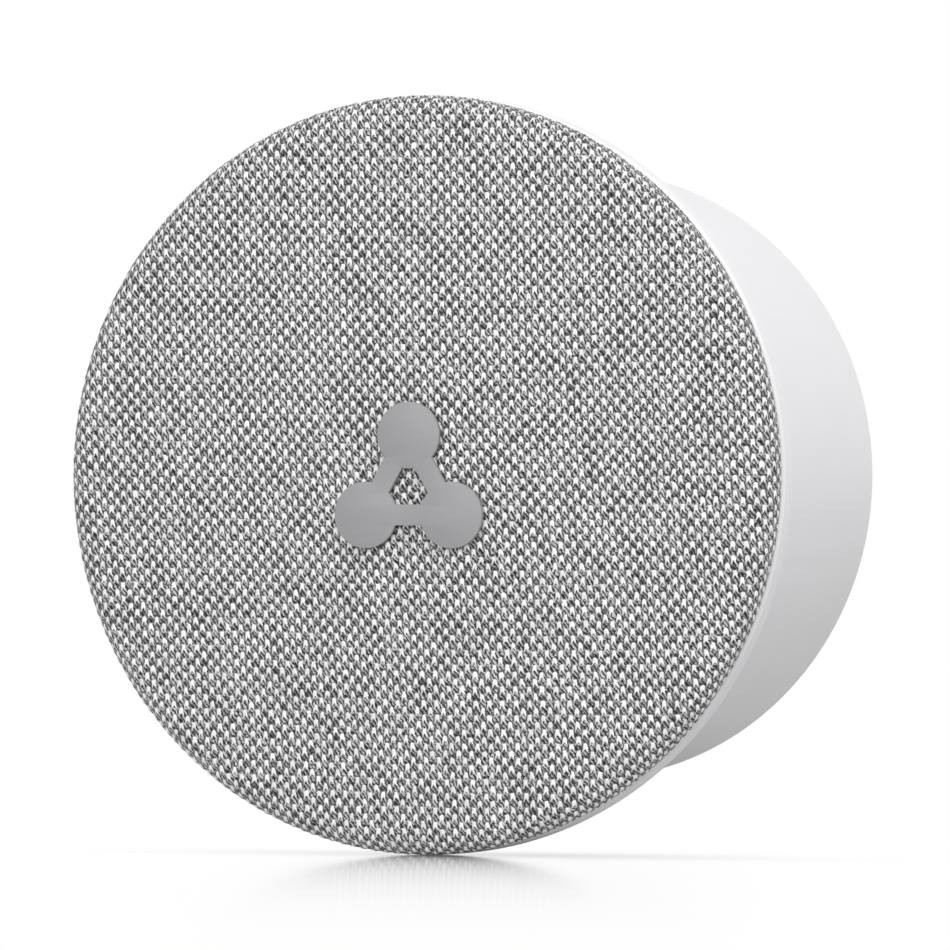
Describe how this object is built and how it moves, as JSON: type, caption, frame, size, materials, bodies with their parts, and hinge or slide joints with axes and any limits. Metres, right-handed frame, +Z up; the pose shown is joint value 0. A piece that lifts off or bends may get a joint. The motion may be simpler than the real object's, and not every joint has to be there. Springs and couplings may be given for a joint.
{
  "type": "mesh wifi node",
  "caption": "Round plug-in mesh wifi node: knit-faced disc on a white rim and cylindrical housing, with mains blades, reset button and an inner loudspeaker.",
  "frame": {"origin": "centre of the rear face, in the plane that meets the wall plate round the outlet, midway between the blades", "axes": "+Y out of the rear face towards the wall, along the blades; +Z up; +X to the right as seen from in front of the fabric, which faces -Y"},
  "size_m": [0.0802, 0.0691, 0.0802],
  "materials": {
    "knit_cloth": "heather light and dark grey weft knit, 1.5 mm stitches",
    "white_plastic": "fine satin white moulding",
    "grey_plastic": "satin grey",
    "badge_grey": "flat satin grey",
    "dark_plastic": "dark moulding behind the cloth",
    "black_plastic": "moulded black",
    "cream_plastic": "nylon connector",
    "clear_plastic": "clear acrylic",
    "nickel": "nickel-plated brass blade",
    "zinc_steel": "zinc-plated steel",
    "black_steel": "black coated pressed steel",
    "tin_plate": "tinned shield can",
    "gold_contact": "gold-plated contact",
    "copper": "enamelled copper winding",
    "ferrite": "sintered ferrite",
    "foam": "closed-cell foam",
    "paper_pulp": "pressed paper pulp",
    "butyl": "butyl rubber",
    "resin_fibre": "resin-dipped cotton",
    "board_green": "solder mask",
    "board_tan": "paper laminate",
    "insulating_paper": "fish paper",
    "polyester_tape": "yellow winding tape",
    "flex_film": "polyimide flex",
    "red_wire": "red insulation",
    "black_wire": "black insulation",
    "capacitor_sleeve": "shrink sleeve",
    "fuse_glass": "glass tube",
    "blue_ceramic": "dipped ceramic"
  },
  "bodies": {
    "root": {"fabric_cover": "knit_cloth", "grille_plate": "dark_plastic", "front_frame": "white_plastic", "rear_housing": "white_plastic", "emblem": "badge_grey", "plug_base": "white_plastic", "blade_left": "nickel", "blade_right": "nickel", "rating_label": "grey_plastic", "housing_screw_1": "zinc_steel", "housing_screw_2": "zinc_steel", "housing_screw_3": "zinc_steel", "reset_switch": "black_plastic", "speaker_gasket": "foam", "speaker_basket": "black_steel", "speaker_screw_1": "zinc_steel", "speaker_screw_2": "zinc_steel", "speaker_screw_3": "zinc_steel", "top_plate": "zinc_steel", "magnet": "ferrite", "yoke": "zinc_steel", "surround": "butyl", "spider": "resin_fibre", "speaker_connector": "cream_plastic", "speaker_wire_plus": "red_wire", "speaker_wire_minus": "black_wire", "main_board": "board_green", "board_screw_1": "zinc_steel", "board_screw_2": "zinc_steel", "board_screw_3": "zinc_steel", "processor_shield": "tin_plate", "radio_shield": "tin_plate", "audio_amplifier": "black_plastic", "status_led": "cream_plastic", "light_pipe": "clear_plastic", "antenna_left": "flex_film", "antenna_right": "flex_film", "coax_socket_left": "gold_contact", "coax_socket_right": "gold_contact", "coax_left": "black_wire", "coax_right": "black_wire", "insulating_sheet": "insulating_paper", "power_header": "black_plastic", "mains_board": "board_tan", "transformer_core": "ferrite", "transformer_coil": "polyester_tape", "bulk_capacitor_1": "capacitor_sleeve", "bulk_capacitor_2": "capacitor_sleeve", "output_capacitor": "capacitor_sleeve", "bridge_rectifier": "black_plastic", "fuse": "fuse_glass", "suppression_capacitor": "blue_ceramic", "line_choke": "copper"},
    "diaphragm": {"cone": "paper_pulp", "dust_cap": "paper_pulp", "voice_coil": "copper"},
    "reset_button": {"reset_button": "grey_plastic"}
  },
  "joints": [
    {"name": "diaphragm_slide", "type": "slide", "parent": "root", "child": "diaphragm", "axis": [0, -1, 0], "range_m": [-0.001, 0.001], "stiffness_N_per_m": 1500, "deforming": ["surround", "spider"]},
    {"name": "reset_press", "type": "slide", "parent": "root", "child": "reset_button", "axis": [0, 0, 1], "range_m": [0, 0.0005], "stiffness_N_per_m": 3000}
  ]
}
